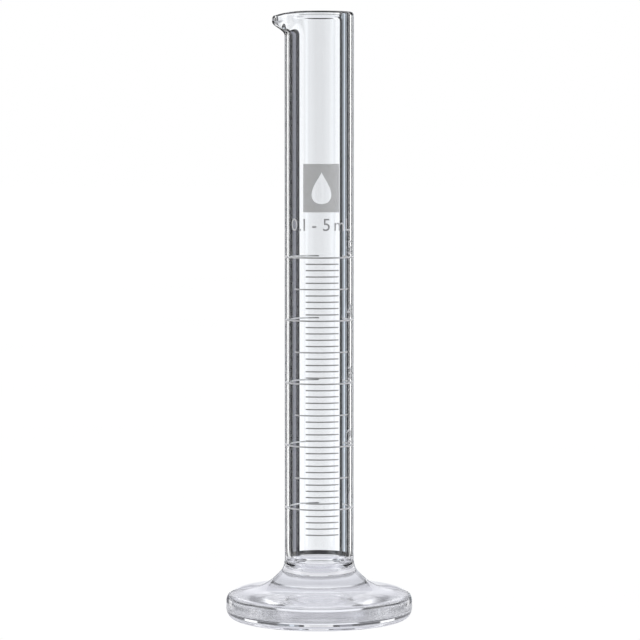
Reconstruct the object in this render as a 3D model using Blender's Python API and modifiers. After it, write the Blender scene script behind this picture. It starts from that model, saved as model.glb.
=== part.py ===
"""Small measuring cylinder of clear glass, 5 mL by 0.1 mL.

Frame: +Z up, origin on the resting plane at the centre of the foot.
The pouring spout points along -X and the scale faces -Y.
The drawn tube is closed by a rounded bottom, which sits in a cup in the
pressed foot. Rings, marks, ticks, numerals, legend and badge are separate
films of fired enamel on the outside of the tube.
"""

import math

import bmesh
import bpy
from mathutils import Vector

# ---------------------------------------------------------------- dimensions
MM = 0.001

HEIGHT = 108.45 * MM         # resting plane to the top of the rim
TUBE_R = 6.15 * MM           # outside of the drawn tube
BORE_R = 5.33 * MM           # inside of the drawn tube
BORE_CURVE_Z = 11.95 * MM    # where the bore starts to close
BORE_DEPTH = 4.20 * MM       # height of the rounded end of the bore
RIM_LAND_R = 5.72 * MM       # crest of the fire-polished rim
RIM_OUT_H = 0.84 * MM        # height of the rim's outer rounding
RIM_IN_H = 0.40 * MM         # height of the rim's inner rounding

WELD_Z = 10.70 * MM          # shoulder where the tube meets the foot
END_R = 5.94 * MM            # tube's closed end below the shoulder
END_DEPTH = 3.82 * MM        # height of the closed end
SEAM = 0.05 * MM             # clearance between the tube and the foot's cup

SPOUT_REACH = 2.22 * MM      # how far the lip stands out of the tube
SPOUT_START_Z = 104.3 * MM   # where the wall starts to lean out
SPOUT_TIP_Z = 107.2 * MM     # where the wall is furthest out
SPOUT_DROP = 0.62 * MM       # the rim sinks by this much at the lip
SPOUT_BEAK = math.radians(21.0)
SPOUT_SPAN = math.radians(70.0)

FOOT_REST_IN_R = 9.4 * MM    # flat resting ring, inner edge
FOOT_HOLLOW = 0.5 * MM       # hollow of the underside at its centre

SCALE_ZERO_Z = 9.20 * MM     # the scale's zero, read back from its marks
MM_PER_ML = 11.165 * MM      # rise of the scale for each millilitre

INK = 0.10 * MM              # thickness of the enamel film
INK_GAP = 0.05 * MM          # clearance under the film
RING_H = 0.26 * MM           # line height of the rings
TICK_H = 0.24 * MM           # line height of the marks and ticks

TURN_STEPS = 48              # steps round the glass


def phi(deg):
    """Angle round the tube: 0 faces -Y, positive goes towards +X."""
    return math.radians(deg)


# start and end of each kind of line round the tube
RING_ARC = (phi(-180.0), phi(130.0))
HALF_ARC = (phi(-44.4), phi(54.7))
TICK_ARC = (phi(-23.0), phi(34.2))

NUMERAL_PHI = phi(61.0)
NUMERAL_H = 2.33 * MM
NUMERAL_LIFT = 0.61 * MM     # from the ring's middle to the numeral's foot

LEGEND_PHI = phi(5.0)
LEGEND_Z = 69.80 * MM
LEGEND_H = 2.12 * MM

BADGE_PHI = phi(3.8)
BADGE_W = 6.62 * MM
BADGE_Z = (73.06 * MM, 81.58 * MM)
DROP_H = 5.6 * MM            # plain drop-shaped window in the badge
DROP_R = 1.75 * MM

# ------------------------------------------------------------------- helpers
for old in list(bpy.data.objects):
    bpy.data.objects.remove(old, do_unlink=True)

PARTS = bpy.data.collections.new("graduated_cylinder")
bpy.context.scene.collection.children.link(PARTS)


def material(name, colour, roughness, metallic=0.0, transmission=0.0, ior=1.5, alpha=1.0):
    mat = bpy.data.materials.new(name)
    mat.use_nodes = True
    shader = mat.node_tree.nodes["Principled BSDF"]
    shader.inputs["Base Color"].default_value = (*colour, 1.0)
    shader.inputs["Roughness"].default_value = roughness
    shader.inputs["Metallic"].default_value = metallic
    shader.inputs["IOR"].default_value = ior
    shader.inputs["Transmission Weight"].default_value = transmission
    shader.inputs["Alpha"].default_value = alpha
    return mat


TUBE_GLASS = material("tube_glass", (0.96, 0.98, 0.98), 0.02, transmission=1.0, ior=1.47, alpha=0.4)
FOOT_GLASS = material("foot_glass", (0.94, 0.96, 0.97), 0.04, transmission=1.0, ior=1.50, alpha=0.5)
RING_ENAMEL = material("ring_enamel", (0.62, 0.62, 0.60), 0.50)
HALF_ENAMEL = material("half_mark_enamel", (0.61, 0.61, 0.59), 0.50)
TICK_ENAMEL = material("tick_enamel", (0.60, 0.60, 0.58), 0.50)
NUMERAL_ENAMEL = material("numeral_enamel", (0.66, 0.66, 0.64), 0.50)
LEGEND_ENAMEL = material("legend_enamel", (0.62, 0.62, 0.60), 0.50)
BADGE_ENAMEL = material("badge_enamel", (0.55, 0.55, 0.52), 0.55)


def place(obj, mat):
    PARTS.objects.link(obj)
    obj.data.materials.append(mat)
    return obj


def turned(name, profile, mat):
    """Solid of revolution: the profile lies in XZ and runs down its outer side."""
    mesh = bpy.data.meshes.new(name)
    bm = bmesh.new()
    verts = [bm.verts.new((r, 0.0, z)) for r, z in profile]
    for a, b in zip(verts, verts[1:]):
        bm.edges.new((a, b))
    bm.to_mesh(mesh)
    bm.free()
    obj = place(bpy.data.objects.new(name, mesh), mat)
    screw = obj.modifiers.new("turn", "SCREW")
    screw.axis = "Z"
    screw.angle = math.tau
    screw.steps = TURN_STEPS
    screw.render_steps = TURN_STEPS
    screw.use_merge_vertices = True
    screw.merge_threshold = 0.000001
    screw.use_smooth_shade = True
    return obj


def realised(obj):
    """The object's modifiers made real, so that its points can be moved."""
    bpy.context.view_layer.update()
    depsgraph = bpy.context.evaluated_depsgraph_get()
    mesh = bpy.data.meshes.new_from_object(obj.evaluated_get(depsgraph))
    name, matrix = obj.name, obj.matrix_world.copy()
    bpy.data.objects.remove(obj, do_unlink=True)
    mesh.name = name
    new = bpy.data.objects.new(name, mesh)
    new.matrix_world = matrix
    PARTS.objects.link(new)
    return new


def smooth(obj, angle=40.0):
    obj.data.shade_smooth()
    obj.data.set_sharp_from_angle(angle=math.radians(angle))


def quarter(r0, z0, r1, z1, steps, first_vertical):
    """Quarter of an ellipse between two points, leaving the first one
    vertically, or horizontally, without the first point itself."""
    out = []
    for i in range(1, steps + 1):
        t = math.pi / 2 * i / steps
        if first_vertical:
            out.append((r1 + (r0 - r1) * math.cos(t), z0 + (z1 - z0) * math.sin(t)))
        else:
            out.append((r0 + (r1 - r0) * math.sin(t), z1 + (z0 - z1) * math.cos(t)))
    return out


def smoothstep(x):
    x = min(max(x, 0.0), 1.0)
    return x * x * (3.0 - 2.0 * x)


# ------------------------------------------------------------------ the tube
def tube_profile():
    floor_z = BORE_CURVE_Z - BORE_DEPTH
    lean = [SPOUT_START_Z + (SPOUT_TIP_Z - SPOUT_START_Z) * i / 6 for i in range(7)]
    pts = [(0.0, floor_z)]
    pts += quarter(0.0, floor_z, BORE_R, BORE_CURVE_Z, 7, False)
    pts += [(BORE_R, z) for z in lean]
    pts.append((BORE_R, HEIGHT - RIM_IN_H))
    pts += quarter(BORE_R, HEIGHT - RIM_IN_H, RIM_LAND_R, HEIGHT, 3, True)
    pts += quarter(RIM_LAND_R, HEIGHT, TUBE_R, HEIGHT - RIM_OUT_H, 3, False)
    pts += [(TUBE_R, z) for z in reversed(lean)]
    pts += [(TUBE_R, WELD_Z), (END_R, WELD_Z)]
    pts += quarter(END_R, WELD_Z, 0.0, WELD_Z - END_DEPTH, 7, True)
    return pts


def spout_pull(co):
    """Lean the wall out along -X into a beak, and let the rim sink there."""
    away = abs(math.atan2(co.y, -co.x))
    if away > SPOUT_SPAN or co.z < SPOUT_START_Z:
        return co
    beak = math.exp(-((away / SPOUT_BEAK) ** 2))
    skirt = math.cos(away / SPOUT_SPAN * math.pi / 2) ** 2
    lobe = 0.75 * beak + 0.25 * skirt
    lean = smoothstep((co.z - SPOUT_START_Z) / (SPOUT_TIP_Z - SPOUT_START_Z))
    rise = smoothstep((co.z - SPOUT_START_Z) / (HEIGHT - SPOUT_START_Z))
    return Vector((co.x - SPOUT_REACH * lobe * lean, co.y, co.z - SPOUT_DROP * lobe * rise))


tube = realised(turned("measuring_tube", tube_profile(), TUBE_GLASS))
for vertex in tube.data.vertices:
    vertex.co = spout_pull(vertex.co)
smooth(tube)


# ------------------------------------------------------------------ the foot
# Outer side of the foot in millimetres: collar, flared neck, gently sloping
# top, rounded edge and rounded underside down to the resting ring.
FOOT_SIDE = (
    (6.21, 10.65), (6.37, 9.8), (6.65, 9.1), (7.23, 8.42), (7.97, 7.72),
    (8.81, 7.01), (9.8, 6.39), (10.9, 5.98), (12.1, 5.76), (13.4, 5.6),
    (14.55, 5.39), (15.45, 5.07), (16.1, 4.55), (16.5, 3.76), (16.65, 2.87),
    (16.58, 2.08), (16.25, 1.29), (15.65, 0.67), (14.95, 0.3), (14.15, 0.08),
    (13.45, 0.0),
)


def foot_profile():
    cup_r = END_R + SEAM
    cup_z = WELD_Z - SEAM
    pts = [(0.0, cup_z - END_DEPTH)]
    pts += quarter(0.0, cup_z - END_DEPTH, cup_r, cup_z, 7, False)
    pts += [(r * MM, z * MM) for r, z in FOOT_SIDE]
    pts.append((FOOT_REST_IN_R, 0.0))
    for i in range(1, 5):
        r = FOOT_REST_IN_R * (1.0 - i / 4)
        pts.append((r, FOOT_HOLLOW * (1.0 - (r / FOOT_REST_IN_R) ** 2)))
    return pts


foot = turned("foot", foot_profile(), FOOT_GLASS)


# ------------------------------------------------------------- enamel lines
def scale_z(volume):
    return SCALE_ZERO_Z + MM_PER_ML * volume


def line_mesh(name, height):
    """A short upright stroke on the film's inner face."""
    mesh = bpy.data.meshes.new(name)
    bm = bmesh.new()
    top = bm.verts.new((TUBE_R + INK_GAP, 0.0, height / 2))
    low = bm.verts.new((TUBE_R + INK_GAP, 0.0, -height / 2))
    bm.edges.new((top, low))
    bm.to_mesh(mesh)
    bm.free()
    return mesh


def line(name, mesh, z, arc, steps, mat):
    """The stroke carried round the tube and thickened outwards."""
    obj = bpy.data.objects.new(name, mesh)
    obj.location = (0.0, 0.0, z)
    obj.rotation_euler = (0.0, 0.0, arc[0] - math.pi / 2)
    PARTS.objects.link(obj)
    if not mesh.materials:
        mesh.materials.append(mat)
    screw = obj.modifiers.new("round_the_tube", "SCREW")
    screw.axis = "Z"
    screw.angle = arc[1] - arc[0]
    screw.steps = steps
    screw.render_steps = steps
    screw.use_merge_vertices = False
    screw.merge_threshold = 0.000001
    screw.use_smooth_shade = True
    film = obj.modifiers.new("film", "SOLIDIFY")
    film.thickness = INK
    film.offset = 1.0
    return obj


ring_stroke = line_mesh("ring_stroke", RING_H)
for ml in range(1, 6):
    line(f"ring_{ml}ml", ring_stroke, scale_z(ml), RING_ARC, 36, RING_ENAMEL)

half_stroke = line_mesh("half_stroke", TICK_H)
for ml in range(1, 5):
    line(f"half_{ml}_5ml", half_stroke, scale_z(ml + 0.5), HALF_ARC, 11, HALF_ENAMEL)

tick_stroke = line_mesh("tick_stroke", TICK_H)
for tenth in range(6, 50):
    if tenth % 5:
        name = f"tick_{tenth // 10}_{tenth % 10}ml"
        line(name, tick_stroke, scale_z(tenth / 10), TICK_ARC, 6, TICK_ENAMEL)


# --------------------------------------------- numerals, legend and the badge
WRAP_STEP = phi(8.0)


def wrapped(obj, centre_phi, base_z):
    """Flat film to curved film: local x runs round the tube, local y up it,
    and local z out of it. The flat mesh is first cut into narrow strips."""
    bpy.context.view_layer.update()
    depsgraph = bpy.context.evaluated_depsgraph_get()
    mesh = bpy.data.meshes.new_from_object(obj.evaluated_get(depsgraph))
    name = obj.name
    mat = obj.data.materials[0]
    bpy.data.objects.remove(obj, do_unlink=True)
    bm = bmesh.new()
    bm.from_mesh(mesh)
    bmesh.ops.remove_doubles(bm, verts=bm.verts, dist=0.000001)
    bmesh.ops.dissolve_limit(bm, angle_limit=math.radians(0.5), verts=bm.verts, edges=bm.edges)
    low = min(v.co.x for v in bm.verts)
    high = max(v.co.x for v in bm.verts)
    strip = WRAP_STEP * TUBE_R
    count = max(1, math.ceil((high - low) / strip))
    for i in range(1, count):
        bmesh.ops.bisect_plane(
            bm, geom=bm.verts[:] + bm.edges[:] + bm.faces[:], dist=0.0000001,
            plane_co=(low + (high - low) * i / count, 0.0, 0.0), plane_no=(1.0, 0.0, 0.0))
    bmesh.ops.triangulate(bm, faces=bm.faces)
    bottom = min(v.co.z for v in bm.verts)
    for v in bm.verts:
        angle = centre_phi + v.co.x / TUBE_R
        radius = TUBE_R + INK_GAP + (v.co.z - bottom)
        v.co = (radius * math.sin(angle), -radius * math.cos(angle), base_z + v.co.y)
    bm.normal_update()
    bm.to_mesh(mesh)
    bm.free()
    mesh.name = name
    if not mesh.materials:
        mesh.materials.append(mat)
    new = bpy.data.objects.new(name, mesh)
    PARTS.objects.link(new)
    smooth(new)
    return new


def text_curve(name, text, mat):
    curve = bpy.data.curves.new(name, "FONT")
    curve.body = text
    curve.size = 1.0
    curve.resolution_u = 2
    curve.align_x = "LEFT"
    return place(bpy.data.objects.new(name, curve), mat)


def text_box(text):
    """Width, foot and head of the text at size 1."""
    obj = text_curve("measure", text, RING_ENAMEL)
    bpy.context.view_layer.update()
    corners = [Vector(c) for c in obj.bound_box]
    xs = [c.x for c in corners]
    ys = [c.y for c in corners]
    curve = obj.data
    bpy.data.objects.remove(obj, do_unlink=True)
    bpy.data.curves.remove(curve)
    return min(xs), max(xs), min(ys), max(ys)


def glyph(name, text, size, x, centre_phi, base_z, mat):
    """One character at local x, as its own curved film."""
    obj = text_curve(name, text, mat)
    obj.data.size = size
    obj.data.extrude = INK / 2
    bpy.context.view_layer.update()
    depsgraph = bpy.context.evaluated_depsgraph_get()
    flat = bpy.data.meshes.new_from_object(obj.evaluated_get(depsgraph))
    bpy.data.objects.remove(obj, do_unlink=True)
    for vertex in flat.vertices:
        vertex.co.x += x
    return wrapped(place(bpy.data.objects.new(name, flat), mat), centre_phi, base_z)


_, _, digit_foot, digit_head = text_box("1")
DIGIT_EM = 1.0 / (digit_head - digit_foot)   # text size for a digit of height 1

for ml in range(1, 6):
    x0, x1, y0, y1 = text_box(str(ml))
    size = NUMERAL_H * DIGIT_EM
    glyph(f"numeral_{ml}", str(ml), size, -(x0 + x1) / 2 * size, NUMERAL_PHI,
          scale_z(ml) + NUMERAL_LIFT, NUMERAL_ENAMEL)

# Generic capacity range, character by character: the word for the node, the
# character, and the space after it in character heights.
LEGEND = (("zero", "0", 0.20), ("point", ".", 0.24), ("one", "1", 0.62),
          ("dash", "-", 0.55), ("five", "5", 0.42), ("m", "m", 0.26), ("l", "L", 0.0))
size = LEGEND_H * DIGIT_EM
boxes = [text_box(char) for _, char, _ in LEGEND]
span = sum((b[1] - b[0]) * size + after * LEGEND_H for b, (_, _, after) in zip(boxes, LEGEND))
cursor = -span / 2
for (word, char, after), box in zip(LEGEND, boxes):
    glyph(f"legend_{word}", char, size, cursor - box[0] * size, LEGEND_PHI, LEGEND_Z, LEGEND_ENAMEL)
    cursor += (box[1] - box[0]) * size + after * LEGEND_H


def spline(curve, points):
    line_ = curve.splines.new("POLY")
    line_.points.add(len(points) - 1)
    for point, (x, y) in zip(line_.points, points):
        point.co = (x, y, 0.0, 1.0)
    line_.use_cyclic_u = True


def drop_outline(steps=22):
    """Water drop with its tip up: a round belly that draws up to a point."""
    out = []
    for i in range(steps):
        t = math.tau * i / steps
        x = DROP_R / 0.70 * math.sin(t) * math.sin(t / 2) ** 1.5
        out.append((x, math.cos(t) * DROP_H / 2))
    return out


badge = bpy.data.curves.new("badge_panel", "CURVE")
badge.dimensions = "2D"
badge.fill_mode = "BOTH"
badge.extrude = INK / 2
badge_h = BADGE_Z[1] - BADGE_Z[0]
spline(badge, [(-BADGE_W / 2, -badge_h / 2), (BADGE_W / 2, -badge_h / 2),
               (BADGE_W / 2, badge_h / 2), (-BADGE_W / 2, badge_h / 2)])
spline(badge, drop_outline())
wrapped(place(bpy.data.objects.new("badge_panel", badge), BADGE_ENAMEL),
        BADGE_PHI, (BADGE_Z[0] + BADGE_Z[1]) / 2)
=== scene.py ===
"""Looks of the small glass measuring cylinder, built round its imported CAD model.

The drawn tube and the pressed foot are fine closed glass bodies, optically
joined at the weld. Every enamel mark of the scale is its own curved film.
The light is a bright field: a white card behind the glass between black
flags, white wings, and soft boxes at both sides, all drawn in the world.
"""

import math

import bmesh
import bpy
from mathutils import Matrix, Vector


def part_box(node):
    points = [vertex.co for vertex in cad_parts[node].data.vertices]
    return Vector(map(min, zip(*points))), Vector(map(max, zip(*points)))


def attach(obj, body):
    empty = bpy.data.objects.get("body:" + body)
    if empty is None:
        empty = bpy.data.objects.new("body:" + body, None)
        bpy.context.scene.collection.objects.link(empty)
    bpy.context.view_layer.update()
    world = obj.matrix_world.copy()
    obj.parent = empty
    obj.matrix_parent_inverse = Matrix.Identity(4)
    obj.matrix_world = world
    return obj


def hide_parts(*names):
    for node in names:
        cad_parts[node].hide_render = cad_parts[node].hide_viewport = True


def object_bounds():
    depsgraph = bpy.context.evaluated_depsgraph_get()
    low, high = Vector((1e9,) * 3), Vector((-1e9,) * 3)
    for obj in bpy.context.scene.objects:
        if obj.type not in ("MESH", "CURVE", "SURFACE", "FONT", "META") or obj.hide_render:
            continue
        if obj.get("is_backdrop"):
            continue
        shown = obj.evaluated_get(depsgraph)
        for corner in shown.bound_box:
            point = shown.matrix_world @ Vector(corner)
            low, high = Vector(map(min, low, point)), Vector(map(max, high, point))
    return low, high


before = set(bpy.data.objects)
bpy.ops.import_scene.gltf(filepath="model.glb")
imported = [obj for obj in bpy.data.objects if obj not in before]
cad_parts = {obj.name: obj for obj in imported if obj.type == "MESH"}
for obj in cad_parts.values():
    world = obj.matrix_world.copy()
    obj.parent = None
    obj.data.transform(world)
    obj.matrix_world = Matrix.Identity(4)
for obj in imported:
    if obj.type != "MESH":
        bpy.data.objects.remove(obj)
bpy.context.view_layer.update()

MM = 0.001
scene = bpy.context.scene
scene.view_settings.view_transform = "Standard"
scene.view_settings.look = "None"
scene.cycles.max_bounces = 40
scene.cycles.transmission_bounces = 40
scene.cycles.glossy_bounces = 24
scene.cycles.transparent_max_bounces = 64
scene.cycles.blur_glossy = 0.0
scene.cycles.sample_clamp_indirect = 0.0

# ------------------------------------------------------ sizes from the frame
tube_low, tube_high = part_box("measuring_tube")
foot_low, foot_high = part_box("foot")
HEIGHT = tube_high.z
TUBE_R = round(tube_high.y / MM, 2) * MM
FOOT_R = foot_high.x
BORE_R = TUBE_R - 0.82 * MM
BORE_CURVE_Z = 11.95 * MM
BORE_DEPTH = 4.20 * MM
RIM_LAND_R = TUBE_R - 0.43 * MM
RIM_OUT_H = 0.84 * MM
RIM_IN_H = 0.40 * MM
WELD_Z = round(foot_high.z / MM + 0.05, 2) * MM
SPOUT_REACH = -tube_low.x - TUBE_R
SPOUT_START_Z = HEIGHT - 4.15 * MM
SPOUT_TIP_Z = HEIGHT - 1.25 * MM
SPOUT_DROP = 0.62 * MM
SPOUT_BEAK = math.radians(21.0)
SPOUT_SPAN = math.radians(70.0)
MARK_Z = HEIGHT - 0.78 * MM
MARK_H = 0.20 * MM
MARK_DEPTH = 0.17 * MM
MARK_SPAN = math.radians(54.0)


# ------------------------------------------------------------- node helpers
class Nodes:
    """Short hand for building a node tree."""

    def __init__(self, tree):
        self.tree = tree
        tree.nodes.clear()

    def add(self, kind, inputs=None, **props):
        node = self.tree.nodes.new(kind)
        for key, value in props.items():
            setattr(node, key, value)
        for key, value in (inputs or {}).items():
            socket = node.inputs[key]
            if isinstance(value, bpy.types.NodeSocket):
                self.tree.links.new(value, socket)
            else:
                socket.default_value = value
        return node

    def link(self, a, b):
        self.tree.links.new(a, b)

    def math(self, operation, a, b=0.0, c=0.0):
        node = self.add("ShaderNodeMath", operation=operation)
        for i, value in enumerate((a, b, c)):
            if isinstance(value, bpy.types.NodeSocket):
                self.tree.links.new(value, node.inputs[i])
            else:
                node.inputs[i].default_value = value
        return node.outputs[0]

    def ramp(self, value, low, high, out_low=0.0, out_high=1.0):
        node = self.add("ShaderNodeMapRange", interpolation_type="SMOOTHSTEP", clamp=True)
        self.tree.links.new(value, node.inputs["Value"])
        node.inputs["From Min"].default_value = low
        node.inputs["From Max"].default_value = high
        node.inputs["To Min"].default_value = out_low
        node.inputs["To Max"].default_value = out_high
        return node.outputs["Result"]


def new_material(name):
    mat = bpy.data.materials.new(name)
    mat.use_nodes = True
    return mat, Nodes(mat.node_tree)


# ---------------------------------------------------------------- materials
def glass_material(name, ior, tint, deep, lines, bump, roughness):
    """Clear glass: a faint uneven tint, and the fine marks of its making."""
    mat, n = new_material(name)
    coords = n.add("ShaderNodeTexCoord")
    stretch = n.add("ShaderNodeMapping", {"Vector": coords.outputs["Object"], "Scale": lines})
    fine = n.add("ShaderNodeTexNoise", {"Vector": stretch.outputs["Vector"], "Scale": 1.0,
                                        "Detail": 3.0, "Roughness": 0.5})
    broad = n.add("ShaderNodeTexNoise", {"Vector": coords.outputs["Object"], "Scale": 160.0,
                                         "Detail": 2.0, "Roughness": 0.5})
    colour = n.add("ShaderNodeMixRGB", {"Fac": broad.outputs["Fac"], "Color1": (*tint, 1.0),
                                        "Color2": (*deep, 1.0)})
    rough = n.ramp(broad.outputs["Fac"], 0.35, 0.75, roughness[0], roughness[1])
    wave = n.add("ShaderNodeBump", {"Height": fine.outputs["Fac"], "Strength": bump[0],
                                    "Distance": bump[1]})
    shader = n.add("ShaderNodeBsdfPrincipled", {
        "Base Color": colour.outputs["Color"], "Roughness": rough, "IOR": ior,
        "Transmission Weight": 1.0, "Normal": wave.outputs["Normal"]})
    clear = n.add("ShaderNodeBsdfTransparent", {"Color": (0.97, 0.98, 0.98, 1.0)})
    path = n.add("ShaderNodeLightPath")
    mix = n.add("ShaderNodeMixShader", {0: path.outputs["Is Shadow Ray"],
                                        1: shader.outputs[0], 2: clear.outputs[0]})
    n.add("ShaderNodeOutputMaterial", {"Surface": mix.outputs[0]})
    return mat


def fused_material():
    """Where tube and foot are melted together there is no surface to see."""
    mat, n = new_material("fused_weld")
    clear = n.add("ShaderNodeBsdfTransparent", {"Color": (1.0, 1.0, 1.0, 1.0)})
    n.add("ShaderNodeOutputMaterial", {"Surface": clear.outputs[0]})
    return mat


def enamel_material(name, colour, pale, specks=1.0):
    """Fired enamel: satin, slightly uneven, with pinholes; its paler edges are a painted sheen."""
    mat, n = new_material(name)
    coords = n.add("ShaderNodeTexCoord")
    cloud = n.add("ShaderNodeTexNoise", {"Vector": coords.outputs["Object"], "Scale": 900.0,
                                         "Detail": 4.0, "Roughness": 0.6})
    grain = n.add("ShaderNodeTexNoise", {"Vector": coords.outputs["Object"], "Scale": 9000.0,
                                         "Detail": 3.0, "Roughness": 0.7})
    cells = n.add("ShaderNodeTexVoronoi", {"Vector": coords.outputs["Object"], "Scale": 5200.0},
                  feature="F1")
    tone = n.ramp(cloud.outputs["Fac"], 0.30, 0.70)
    base = n.add("ShaderNodeMixRGB", {"Fac": tone, "Color1": (*colour, 1.0), "Color2": (*pale, 1.0)})
    hole = n.ramp(cells.outputs["Distance"], 0.05, 0.22, 0.16 * specks, 0.0)
    spotted = n.add("ShaderNodeMixRGB", {"Fac": hole, "Color1": base.outputs["Color"],
                                         "Color2": (colour[0] * 0.55, colour[1] * 0.55, colour[2] * 0.55, 1.0)})
    rough = n.ramp(grain.outputs["Fac"], 0.3, 0.7, 0.38, 0.56)
    bump = n.add("ShaderNodeBump", {"Height": grain.outputs["Fac"], "Strength": 0.25,
                                    "Distance": 0.00001})
    # painted sheen: where the film is seen at a slant, its colour is painted almost white to stand in for the
    # side light on the tube's flanks
    facing = n.add("ShaderNodeLayerWeight", {"Blend": 0.5}).outputs["Facing"]
    white = n.ramp(facing, 0.04, 0.26, 0.0, 0.96)
    enamel_painted_sheen = n.add("ShaderNodeMixRGB", {"Fac": white, "Color1": spotted.outputs["Color"],
                                       "Color2": (0.97, 0.97, 0.97, 1.0)})
    shader = n.add("ShaderNodeBsdfPrincipled", {
        "Base Color": enamel_painted_sheen.outputs["Color"], "Roughness": rough, "IOR": 1.5,
        "Normal": bump.outputs["Normal"]})
    n.add("ShaderNodeOutputMaterial", {"Surface": shader.outputs[0]})
    return mat


TUBE_GLASS = glass_material("drawn_glass", 1.47, (0.992, 0.996, 0.997), (0.984, 0.990, 0.993),
                            (900.0, 900.0, 9.0), (0.01, 0.0000003), (0.0, 0.0))
FOOT_GLASS = glass_material("pressed_glass", 1.50, (0.985, 0.991, 0.995), (0.972, 0.981, 0.989),
                            (220.0, 220.0, 320.0), (0.02, 0.000003), (0.0, 0.0))
BASE_GLASS = glass_material("pressed_glass_underside", 1.50, (0.985, 0.991, 0.995), (0.972, 0.981, 0.989),
                            (220.0, 220.0, 320.0), (0.02, 0.000003), (0.12, 0.17))
FUSED = fused_material()
LINE_ENAMEL = enamel_material("line_enamel", (0.48, 0.48, 0.47), (0.58, 0.58, 0.57))
FIGURE_ENAMEL = enamel_material("figure_enamel", (0.80, 0.80, 0.79), (0.90, 0.90, 0.89))
LEGEND_ENAMEL = enamel_material("legend_enamel", (0.54, 0.54, 0.53), (0.63, 0.63, 0.62))
BADGE_ENAMEL = enamel_material("badge_enamel", (0.94, 0.94, 0.91), (0.98, 0.98, 0.96), 0.7)


# ------------------------------------------------------------ mesh helpers
def quarter(r0, z0, r1, z1, steps, first_vertical):
    """Quarter of an ellipse between two points, without the first point."""
    out = []
    for i in range(1, steps + 1):
        t = math.pi / 2 * i / steps
        if first_vertical:
            out.append((r1 + (r0 - r1) * math.cos(t), z0 + (z1 - z0) * math.sin(t)))
        else:
            out.append((r0 + (r1 - r0) * math.sin(t), z1 + (z0 - z1) * math.cos(t)))
    return out


def smoothstep(x):
    x = min(max(x, 0.0), 1.0)
    return x * x * (3.0 - 2.0 * x)


def through(points, steps):
    """Catmull-Rom curve through the points."""
    out = []
    n = len(points)
    for i in range(n - 1):
        p0 = points[max(i - 1, 0)]
        p1, p2 = points[i], points[i + 1]
        p3 = points[min(i + 2, n - 1)]
        for k in range(steps):
            t = k / steps
            out.append(tuple(
                0.5 * (2 * b + (c - a) * t + (2 * a - 5 * b + 4 * c - d) * t * t
                       + (3 * b - a - 3 * c + d) * t ** 3)
                for a, b, c, d in zip(p0, p1, p2, p3)))
    out.append(tuple(points[-1]))
    return out


def link(obj):
    scene.collection.objects.link(obj)
    return obj


def lathed(name, profile, segments, materials, move=None):
    """Closed solid of revolution. The profile holds (r, z, material index of
    the band that follows); its ends are on the axis."""
    mesh = bpy.data.meshes.new(name)
    bm = bmesh.new()
    rows = []
    for r, z, _ in profile:
        if r < 1e-9:
            rows.append([bm.verts.new((0.0, 0.0, z))])
        else:
            rows.append([bm.verts.new((r * math.sin(math.tau * k / segments),
                                       -r * math.cos(math.tau * k / segments), z))
                         for k in range(segments)])
    for (a, b, (_, _, slot)) in zip(rows, rows[1:], profile):
        for k in range(segments):
            j = (k + 1) % segments
            if len(a) == 1:
                face = bm.faces.new((a[0], b[j], b[k]))
            elif len(b) == 1:
                face = bm.faces.new((a[k], a[j], b[0]))
            else:
                face = bm.faces.new((a[k], a[j], b[j], b[k]))
            face.material_index = slot
            face.smooth = True
    if move:
        for v in bm.verts:
            v.co = move(v.co)
    bm.normal_update()
    if bm.calc_volume(signed=True) < 0:
        bmesh.ops.reverse_faces(bm, faces=bm.faces)
    bm.to_mesh(mesh)
    bm.free()
    for mat in materials:
        mesh.materials.append(mat)
    return link(bpy.data.objects.new(name, mesh))


# --------------------------------------------------------------- glass tube
END_R = TUBE_R - 0.16 * MM
END_Z = WELD_Z - 3.82 * MM


def spout_pull(co):
    """Lean the wall out along -X into a beak, and let the rim sink there."""
    away = abs(math.atan2(co.y, -co.x))
    if away > SPOUT_SPAN or co.z < SPOUT_START_Z:
        return co
    beak = math.exp(-((away / SPOUT_BEAK) ** 2))
    skirt = math.cos(away / SPOUT_SPAN * math.pi / 2) ** 2
    lobe = 0.75 * beak + 0.25 * skirt
    lean = smoothstep((co.z - SPOUT_START_Z) / (SPOUT_TIP_Z - SPOUT_START_Z))
    rise = smoothstep((co.z - SPOUT_START_Z) / (HEIGHT - SPOUT_START_Z))
    return Vector((co.x - SPOUT_REACH * lobe * lean, co.y, co.z - SPOUT_DROP * lobe * rise))


def rim_work(co):
    """The beak, and the shallow roller mark behind, just under the rim."""
    radius = math.hypot(co.x, co.y)
    around = abs(math.atan2(co.x, co.y)) / MARK_SPAN
    height = (co.z - MARK_Z) / MARK_H
    if around < 1.0 and abs(height) < 3.5 and radius > TUBE_R - 0.4 * MM:
        dip = MARK_DEPTH * math.exp(-height * height) * (1.0 - around * around) ** 1.3
        co = Vector((co.x * (1.0 - dip / radius), co.y * (1.0 - dip / radius), co.z))
    return spout_pull(co)


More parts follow.
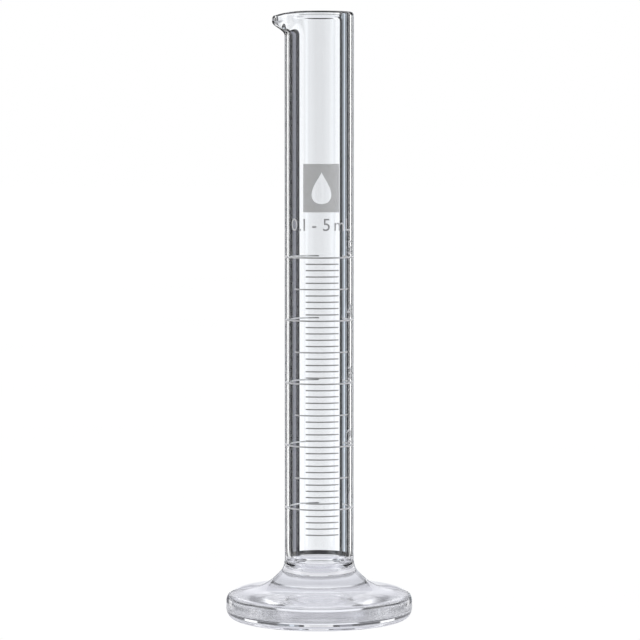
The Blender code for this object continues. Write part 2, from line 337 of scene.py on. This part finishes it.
def tube_profile():
    floor_z = BORE_CURVE_Z - BORE_DEPTH
    lean = [SPOUT_START_Z + (HEIGHT - RIM_OUT_H - SPOUT_START_Z) * i / 40 for i in range(41)]
    wall = [BORE_CURVE_Z + (SPOUT_START_Z - BORE_CURVE_Z) * i / 16 for i in range(1, 16)]
    inner = [(0.0, floor_z)] + quarter(0.0, floor_z, BORE_R, BORE_CURVE_Z, 28, False)
    inner += [(BORE_R, z) for z in wall] + [(BORE_R, z) for z in lean]
    inner.append((BORE_R, HEIGHT - RIM_IN_H))
    inner += quarter(BORE_R, HEIGHT - RIM_IN_H, RIM_LAND_R, HEIGHT, 9, True)
    outer = quarter(RIM_LAND_R, HEIGHT, TUBE_R, HEIGHT - RIM_OUT_H, 26, False)
    outer += [(TUBE_R, z) for z in reversed(lean[:-1])] + [(TUBE_R, z) for z in reversed(wall)]
    outer += [(TUBE_R, WELD_Z + 0.9 * MM), (TUBE_R, WELD_Z + 0.22 * MM)]
    outer += quarter(TUBE_R, WELD_Z + 0.22 * MM, TUBE_R - 0.09 * MM, WELD_Z + 0.006 * MM, 6, True)
    profile = [(r, z, 0) for r, z in inner + outer[:-1]]
    profile += [(*outer[-1], 1), (END_R, WELD_Z + 0.006 * MM, 1)]
    profile += [(r, z, 1) for r, z in quarter(END_R, WELD_Z + 0.006 * MM, 0.0, END_Z, 12, True)]
    profile[-1] = (0.0, END_Z, 1)
    return profile


tube = lathed("glass_tube", tube_profile(), 256, [TUBE_GLASS, FUSED], rim_work)

# A thin flat bubble is left in the solid end, where it was pressed to the foot.
BUBBLE_Z = WELD_Z - 1.15 * MM
BUBBLE_R = 5.6 * MM
BUBBLE_H = 0.03 * MM
bubble = lathed("bubble", [(0.0, BUBBLE_Z + BUBBLE_H, 0), (BUBBLE_R * 0.5, BUBBLE_Z + BUBBLE_H, 0),
                           (BUBBLE_R - 2 * BUBBLE_H, BUBBLE_Z + BUBBLE_H, 0), (BUBBLE_R, BUBBLE_Z, 0),
                           (BUBBLE_R - 2 * BUBBLE_H, BUBBLE_Z - BUBBLE_H, 0),
                           (BUBBLE_R * 0.5, BUBBLE_Z - BUBBLE_H, 0), (0.0, BUBBLE_Z - BUBBLE_H, 0)],
                192, [TUBE_GLASS])
bubble.data.flip_normals()
joined = bmesh.new()
joined.from_mesh(tube.data)
joined.from_mesh(bubble.data)
joined.to_mesh(tube.data)
joined.free()
bpy.data.objects.remove(bubble, do_unlink=True)
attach(tube, "root")
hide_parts("measuring_tube")

# --------------------------------------------------------------- glass foot
# collar, flared neck, gently sloping top, rounded edge, resting ring (mm)
FOOT_SIDE = (
    (6.25, 10.35), (6.37, 9.8), (6.65, 9.1), (7.23, 8.42), (7.97, 7.72),
    (8.81, 7.01), (9.8, 6.39), (10.9, 5.98), (12.1, 5.76), (13.4, 5.6),
    (14.55, 5.39), (15.45, 5.07), (16.22, 4.62), (16.58, 3.9), (16.65, 2.9),
    (16.62, 1.95), (16.36, 1.17), (15.8, 0.58), (15.05, 0.24), (14.2, 0.06),
    (13.45, 0.0),
)
FOOT_REST_IN_R = 9.4 * MM
FOOT_HOLLOW = 0.5 * MM
BASE_TOP = 0.35 * MM         # below this the glass is a little matt from the mould


def foot_profile():
    cup_r, cup_z = END_R + 0.02 * MM, WELD_Z - 0.006 * MM
    profile = [(0.0, END_Z - 0.02 * MM, 1)]
    profile += [(r, z, 1) for r, z in quarter(0.0, END_Z - 0.02 * MM, cup_r, cup_z, 12, False)]
    profile.append((TUBE_R - 0.09 * MM, cup_z, 0))
    profile += [(r, z, 0) for r, z in
                quarter(TUBE_R - 0.09 * MM, cup_z, 6.21 * MM, WELD_Z - 0.2 * MM, 5, False)]
    scale = FOOT_R / (16.65 * MM)
    side = [(min(r * MM * scale, FOOT_R), max(z * MM, 0.0)) for r, z in through(FOOT_SIDE, 5)]
    profile += [(r, z, 0 if z > BASE_TOP or r < 12.0 * MM else 2) for r, z in side]
    profile += [(FOOT_REST_IN_R + 2.0 * MM, 0.0, 2), (FOOT_REST_IN_R, 0.0, 2)]
    for i in range(1, 25):
        r = FOOT_REST_IN_R * (1.0 - i / 24)
        share = 1.0 - (r / FOOT_REST_IN_R) ** 2
        profile.append((max(r, 0.0), FOOT_HOLLOW * share, 2))
    profile[-1] = (0.0, FOOT_HOLLOW, 2)
    return profile


foot = lathed("glass_foot", foot_profile(), 288, [FOOT_GLASS, FUSED, BASE_GLASS])
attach(foot, "root")
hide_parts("foot")

# ------------------------------------------------------------ enamel lines
FILM_LOW = 0.006 * MM        # the film lies this close to the glass
FILM = 0.034 * MM            # and is this thick


def arc_of(node):
    """Start, end, middle height and line height of a CAD line, from its mesh."""
    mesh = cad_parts[node].data
    angles, zs = [], []
    for v in mesh.vertices:
        angles.append(math.atan2(v.co.x, -v.co.y))
        zs.append(v.co.z)
    angles.sort()
    gaps = [(b - a, a, b) for a, b in zip(angles, angles[1:])]
    gaps.append((angles[0] + math.tau - angles[-1], angles[-1], angles[0] + math.tau))
    _, start_gap, end_gap = max(gaps)
    start, end = end_gap, start_gap + math.tau
    while start > math.pi - 0.0001:
        start -= math.tau
        end -= math.tau
    return start, end, (min(zs) + max(zs)) / 2, max(zs) - min(zs)


def film_line(node, mat, step=2.0):
    """A curved line of enamel with rounded edges and rounded ends."""
    start, end, mid, height = arc_of(node)
    half = height / 2
    ring = []
    for i in range(5):                       # inner edge up to the crown and over
        t = math.pi / 2 * i / 4
        ring.append((1.0 - 0.16 * (1 - math.sin(t)), FILM * (1 - math.cos(t))))
    section = [(-1.0, 0.0)]
    section = [(-0.92, 0.0), (-0.98, 0.25), (-1.0, 0.5), (-0.95, 0.82), (-0.84, 0.97),
               (-0.5, 1.0), (0.5, 1.0), (0.84, 0.97), (0.95, 0.82), (1.0, 0.5), (0.98, 0.25),
               (0.92, 0.0)]
    length = (end - start) * TUBE_R
    stations = []
    for d in (0.0, 0.12, 0.35, 0.7, 1.0):
        stations.append((d * half, math.sqrt(max(1.0 - (1.0 - d) ** 2, 0.0)) if d else 0.12))
    count = max(2, round(math.degrees(end - start) / step))
    for i in range(1, count):
        at = length * i / count
        if half * 1.3 < at < length - half * 1.3:
            stations.append((at, 1.0))
    for d in (1.0, 0.7, 0.35, 0.12, 0.0):
        stations.append((length - d * half, math.sqrt(max(1.0 - (1.0 - d) ** 2, 0.0)) if d else 0.12))
    mesh = bpy.data.meshes.new(node + "_film")
    bm = bmesh.new()
    rows = []
    for at, width in stations:
        angle = start + at / TUBE_R
        row = []
        for z, h in section:
            radius = TUBE_R + FILM_LOW + FILM * h
            row.append(bm.verts.new((radius * math.sin(angle), -radius * math.cos(angle),
                                     mid + z * half * width)))
        rows.append(row)
    m = len(section)
    for a, b in zip(rows, rows[1:]):
        for i in range(m):
            j = (i + 1) % m
            bm.faces.new((a[i], a[j], b[j], b[i])).smooth = True
    bm.faces.new(rows[0])
    bm.faces.new(list(reversed(rows[-1])))
    bmesh.ops.recalc_face_normals(bm, faces=bm.faces)
    bm.to_mesh(mesh)
    bm.free()
    mesh.materials.append(mat)
    mesh.set_sharp_from_angle(angle=math.radians(50.0))
    obj = link(bpy.data.objects.new(node + "_film", mesh))
    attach(obj, "root")
    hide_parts(node)
    return obj


for node in sorted(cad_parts):
    if node.startswith(("ring_", "half_", "tick_")):
        film_line(node, LINE_ENAMEL)


# ------------------------------------------- figures, legend and the badge
def wrap_film(obj, node, centre, base_z, mat, step=3.0):
    """Flat film to curved film: local x runs round the tube, y up, z out."""
    bpy.context.view_layer.update()
    depsgraph = bpy.context.evaluated_depsgraph_get()
    mesh = bpy.data.meshes.new_from_object(obj.evaluated_get(depsgraph))
    bpy.data.objects.remove(obj, do_unlink=True)
    bm = bmesh.new()
    bm.from_mesh(mesh)
    bmesh.ops.remove_doubles(bm, verts=bm.verts, dist=0.0000005)
    bmesh.ops.dissolve_limit(bm, angle_limit=math.radians(0.4), verts=bm.verts, edges=bm.edges)
    low = min(v.co.x for v in bm.verts)
    high = max(v.co.x for v in bm.verts)
    strip = math.radians(step) * TUBE_R
    count = max(1, math.ceil((high - low) / strip))
    for i in range(1, count):
        bmesh.ops.bisect_plane(
            bm, geom=bm.verts[:] + bm.edges[:] + bm.faces[:], dist=0.0000001,
            plane_co=(low + (high - low) * i / count, 0.0, 0.0), plane_no=(1.0, 0.0, 0.0))
    bmesh.ops.triangulate(bm, faces=bm.faces)
    bottom = min(v.co.z for v in bm.verts)
    for v in bm.verts:
        angle = centre + v.co.x / TUBE_R
        radius = TUBE_R + FILM_LOW + (v.co.z - bottom)
        v.co = (radius * math.sin(angle), -radius * math.cos(angle), base_z + v.co.y)
    bm.normal_update()
    if bm.calc_volume(signed=True) < 0:
        bmesh.ops.reverse_faces(bm, faces=bm.faces)
    bm.to_mesh(mesh)
    bm.free()
    mesh.materials.clear()
    mesh.materials.append(mat)
    mesh.shade_smooth()
    mesh.set_sharp_from_angle(angle=math.radians(35.0))
    mesh.name = node + "_film"
    new = link(bpy.data.objects.new(node + "_film", mesh))
    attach(new, "root")
    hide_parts(node)
    return new


def figure_film(node, char, mat):
    """The character of a CAD node, drawn finely in the CAD node's own place."""
    low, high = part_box(node)
    start, end, _, _ = arc_of(node)
    curve = bpy.data.curves.new(node, "FONT")
    curve.body = char
    curve.size = 1.0
    curve.resolution_u = 6
    obj = link(bpy.data.objects.new(node + "_flat", curve))
    bpy.context.view_layer.update()
    ys = [c[1] for c in obj.bound_box]
    xs = [c[0] for c in obj.bound_box]
    size = (high.z - low.z) / (max(ys) - min(ys))
    curve.size = size
    curve.extrude = FILM / 2
    curve.offset = -0.0
    curve.offset_x = -(min(xs) + max(xs)) / 2 * size
    wrap_film(obj, node, (start + end) / 2, low.z - min(ys) * size, mat)


for ml in range(1, 6):
    figure_film(f"numeral_{ml}", str(ml), FIGURE_ENAMEL)
for word, char in (("zero", "0"), ("point", "."), ("one", "1"), ("dash", "-"),
                   ("five", "5"), ("m", "m"), ("l", "L")):
    figure_film(f"legend_{word}", char, LEGEND_ENAMEL)


def spline(curve, points):
    line = curve.splines.new("POLY")
    line.points.add(len(points) - 1)
    for point, (x, y) in zip(line.points, points):
        point.co = (x, y, 0.0, 1.0)
    line.use_cyclic_u = True


def badge_film():
    low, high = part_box("badge_panel")
    start, end, mid, height = arc_of("badge_panel")
    width = (end - start) * (TUBE_R + 0.05 * MM) * 0.992
    curve = bpy.data.curves.new("badge_flat", "CURVE")
    curve.dimensions = "2D"
    curve.fill_mode = "BOTH"
    curve.extrude = FILM / 2
    corner = 0.12 * MM
    outline = []
    for cx, cy, turn in ((1, -1, -90), (1, 1, 0), (-1, 1, 90), (-1, -1, 180)):
        for k in range(5):
            a = math.radians(turn + 22.5 * k)
            outline.append((cx * (width / 2 - corner) + corner * math.cos(a),
                            cy * (height / 2 - corner) + corner * math.sin(a)))
    spline(curve, outline)
    drop = []
    for i in range(64):
        t = math.tau * i / 64
        drop.append((1.75 * MM / 0.70 * math.sin(t) * math.sin(t / 2) ** 1.5,
                     math.cos(t) * 2.8 * MM))
    spline(curve, drop)
    obj = link(bpy.data.objects.new("badge_flat", curve))
    wrap_film(obj, "badge_panel", (start + end) / 2, mid, BADGE_ENAMEL, 2.0)


badge_film()

# ------------------------------------------------------------------- stage
# The floor is white paper to the camera. What the glass foot stands on shows through the
# foot as a painted shade, a darker, cooler disc; further out the glass sees past the floor.
FLOOR_MAT, n = new_material("pale_floor_painted_shade")
coords = n.add("ShaderNodeTexCoord")
mottle = n.add("ShaderNodeTexNoise", {"Vector": coords.outputs["Object"], "Scale": 6.0, "Detail": 3.0})
tone = n.ramp(mottle.outputs["Fac"], 0.3, 0.7, 1.0, 1.02)
paper = n.add("ShaderNodeEmission", {"Color": (1.0, 1.0, 1.0, 1.0), "Strength": tone})
grain = n.add("ShaderNodeTexNoise", {"Vector": coords.outputs["Object"], "Scale": 120.0, "Detail": 2.0})
shade = n.ramp(grain.outputs["Fac"], 0.3, 0.7, 0.96, 1.04)
away = n.add("ShaderNodeVectorMath", {0: coords.outputs["Object"]}, operation="LENGTH")
# painted shade: under the foot the floor is painted darker and lilac, lightening from 14 to 22 mm out
painted_floor_shade_colour = n.add("ShaderNodeMixRGB", {"Fac": n.ramp(away.outputs["Value"], 0.014, 0.022),
                                  "Color1": (0.66, 0.66, 0.73, 1.0), "Color2": (0.80, 0.80, 0.84, 1.0)})
# painted shade, an emission that only rays through the glass see
under = n.add("ShaderNodeEmission", {"Color": painted_floor_shade_colour.outputs["Color"], "Strength": shade})
near = n.ramp(away.outputs["Value"], 0.030, 0.036, 1.0, 0.0)
gone = n.add("ShaderNodeBsdfTransparent")
painted_shade_disc = n.add("ShaderNodeMixShader", {0: near, 1: gone.outputs[0], 2: under.outputs[0]})
looked = n.add("ShaderNodeLightPath")
both = n.add("ShaderNodeMixShader", {0: looked.outputs["Is Camera Ray"],
                                     1: painted_shade_disc.outputs[0], 2: paper.outputs[0]})
n.add("ShaderNodeOutputMaterial", {"Surface": both.outputs[0]})
bpy.ops.mesh.primitive_circle_add(vertices=96, radius=6.0, fill_type="NGON", location=(0.0, 0.0, -0.00005))
floor = bpy.context.active_object
floor.name = "floor"
floor.data.materials.append(FLOOR_MAT)
floor.visible_diffuse = False
floor.visible_shadow = False
floor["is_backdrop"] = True

# -------------------------------------------------------------------- light
WORLD = bpy.data.worlds.new("bright_field")
WORLD.use_nodes = True
scene.world = WORLD
w = Nodes(WORLD.node_tree)
direction = w.add("ShaderNodeTexCoord").outputs["Generated"]
axes = w.add("ShaderNodeSeparateXYZ", {"Vector": direction})
turn = w.math("MULTIPLY", w.math("ARCTAN2", axes.outputs["X"], axes.outputs["Y"]), 180.0 / math.pi)
climb = w.math("MULTIPLY", w.math("ARCSINE", axes.outputs["Z"]), 180.0 / math.pi)


def band(value, low, high, soft):
    """1 between low and high, with soft edges."""
    up = w.ramp(value, low - soft, low + soft)
    down = w.ramp(value, high - soft, high + soft, 1.0, 0.0)
    return w.math("MULTIPLY", up, down)


def lit(total, amount, colour):
    node = w.add("ShaderNodeVectorMath", {0: (colour[0], colour[1], colour[2]), "Scale": amount},
                 operation="SCALE")
    if total is None:
        return node.outputs[0]
    both = w.add("ShaderNodeVectorMath", {0: total, 1: node.outputs[0]}, operation="ADD")
    return both.outputs[0]


WHITE = (1.0, 1.0, 1.0)
COOL = (0.88, 0.97, 1.08)
LILAC = (0.93, 0.95, 1.10)
PAPER = (0.985, 0.998, 1.025)
# Cards round the horizon: from, to (degrees, 0 behind the glass, + to the
# right), softness of the edges, brightness, colour.
CARDS = (
    (-5.6, 6.1, 0.3, 0.94, PAPER),       # white card behind
    (-5.6, -3.6, 0.4, 0.22, WHITE),      # brighter along its sides
    (3.8, 6.1, 0.4, 0.22, WHITE),
    (-14.0, -8.3, 0.3, 0.31, LILAC),     # grey cloth beside it
    (8.2, 10.2, 0.3, 0.36, COOL),
    (10.2, 12.3, 0.3, 1.00, COOL),
    (12.3, 18.0, 0.4, 0.28, COOL),
    (-42.0, -29.5, 0.8, 1.50, WHITE),    # wings
    (30.0, 41.0, 0.8, 1.60, WHITE),
    (-104.5, -98.5, 0.8, 1.40, LILAC),   # strips beside the glass
    (-114.5, -109.5, 0.8, 0.70, LILAC),
    (98.5, 104.0, 0.8, 0.90, COOL),
    (112.0, 116.0, 0.8, 0.60, COOL),
    (-140.0, -124.0, 4.0, 1.50, WHITE),  # soft boxes in front, left and right
    (-158.0, -138.0, 10.0, 0.60, WHITE),
    (123.0, 136.0, 4.0, 1.60, COOL),
    (134.0, 156.0, 10.0, 0.50, COOL),
    (-95.0, -85.0, 0.6, 1.00, WHITE),    # white cards at the sides
    (85.0, 95.0, 0.6, 1.00, WHITE),
)
horizon = None
for low, high, soft, level, colour in CARDS:
    horizon = lit(horizon, w.math("MULTIPLY", band(turn, low, high, soft), level), colour)
# the card behind is a little greyer towards its top
dimmer = w.ramp(climb, -8.5, 2.0, 1.03, 0.93)
horizon = w.add("ShaderNodeVectorMath", {0: horizon, "Scale": dimmer}, operation="SCALE").outputs[0]

# Below the cards it is dark behind; the diagonals have white cards of their own.
diagonal = w.math("SUBTRACT", w.math("MODULO", w.math("ADD", turn, 495.0), 180.0), 90.0)
slope = None
for low, high, soft, level in ((-12.0, 13.0, 2.0, 1.0), (-42.0, -26.0, 2.0, 1.2), (78.0, 91.0, 3.0, 0.6)):
    slope = lit(slope, w.math("MULTIPLY", band(diagonal, low, high, soft), level), WHITE)
slope = lit(slope, 0.03, WHITE)
steep = lit(None, w.ramp(climb, -75.0, -45.0, 0.25, 0.30), WHITE)
below = w.add("ShaderNodeMixRGB", {"Fac": w.ramp(climb, -46.0, -38.0, 1.0, 0.0), "Color1": slope,
                                   "Color2": steep})
# Above them a soft grey wall behind, and a dimmer room.
wall = w.math("ADD", w.ramp(climb, 3.0, 12.0, 0.42, 0.74), w.ramp(climb, 17.0, 26.0, 0.0, -0.10))
wall = w.math("ADD", wall, w.ramp(climb, 34.0, 44.0, 0.0, 0.16))
wall = w.math("MULTIPLY", wall, w.ramp(w.math("ABSOLUTE", turn), 70.0, 130.0, 1.0, 0.55))
overhead = lit(None, wall, (0.97, 0.98, 1.05))
# a low rail: white in the middle, black at its ends
rail = w.math("ADD", band(climb, 7.0, 8.3, 0.12), band(climb, 9.5, 22.0, 0.3))
ends = w.math("MULTIPLY", rail, band(w.math("ABSOLUTE", turn), 17.5, 75.0, 1.0))
middle = w.math("MULTIPLY", rail, band(turn, -17.5, 17.5, 1.0))
overhead = w.add("ShaderNodeVectorMath", {0: overhead, "Scale": w.math("SUBTRACT", 1.0, w.math("MULTIPLY", ends, 0.93))},
                 operation="SCALE").outputs[0]
overhead = lit(overhead, w.math("MULTIPLY", middle, 0.3), WHITE)
tall = w.math("MULTIPLY", band(w.math("ABSOLUTE", turn), 84.0, 114.0, 5.0), band(climb, 12.0, 50.0, 3.0))
overhead = lit(overhead, w.math("MULTIPLY", tall, 1.9), WHITE)      # tall soft boxes at the sides
above = w.add("ShaderNodeMixRGB", {"Fac": w.ramp(climb, 3.0, 5.0), "Color1": horizon, "Color2": overhead})
low_mix = w.ramp(climb, -9.9, -9.2, 1.0, 0.0)
whole = w.add("ShaderNodeMixRGB", {"Fac": low_mix, "Color1": above.outputs[0], "Color2": below.outputs[0]})
path = w.add("ShaderNodeLightPath")
seen = w.add("ShaderNodeMixRGB", {"Fac": path.outputs["Is Camera Ray"], "Color1": whole.outputs[0],
                                  "Color2": (1.0, 1.0, 1.0, 1.0)})
background = w.add("ShaderNodeBackground", {"Color": seen.outputs[0], "Strength": 1.0})
w.add("ShaderNodeOutputWorld", {"Surface": background.outputs[0]})

# ------------------------------------------------------------------- camera
camera_data = bpy.data.cameras.new("camera")
camera = link(bpy.data.objects.new("camera", camera_data))
camera_data.lens = 172.7
camera_data.sensor_width = 36.0
camera_data.clip_start = 0.01
camera_data.clip_end = 100.0
aim = Vector((0.00014, 0.0, 0.05375))
pitch = math.radians(3.21)
back = Vector((0.0, -math.cos(pitch), math.sin(pitch)))
camera.location = aim + back * 0.5475
camera.rotation_mode = "QUATERNION"
camera.rotation_quaternion = (-back).to_track_quat("-Z", "Y")
scene.camera = camera

low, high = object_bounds()
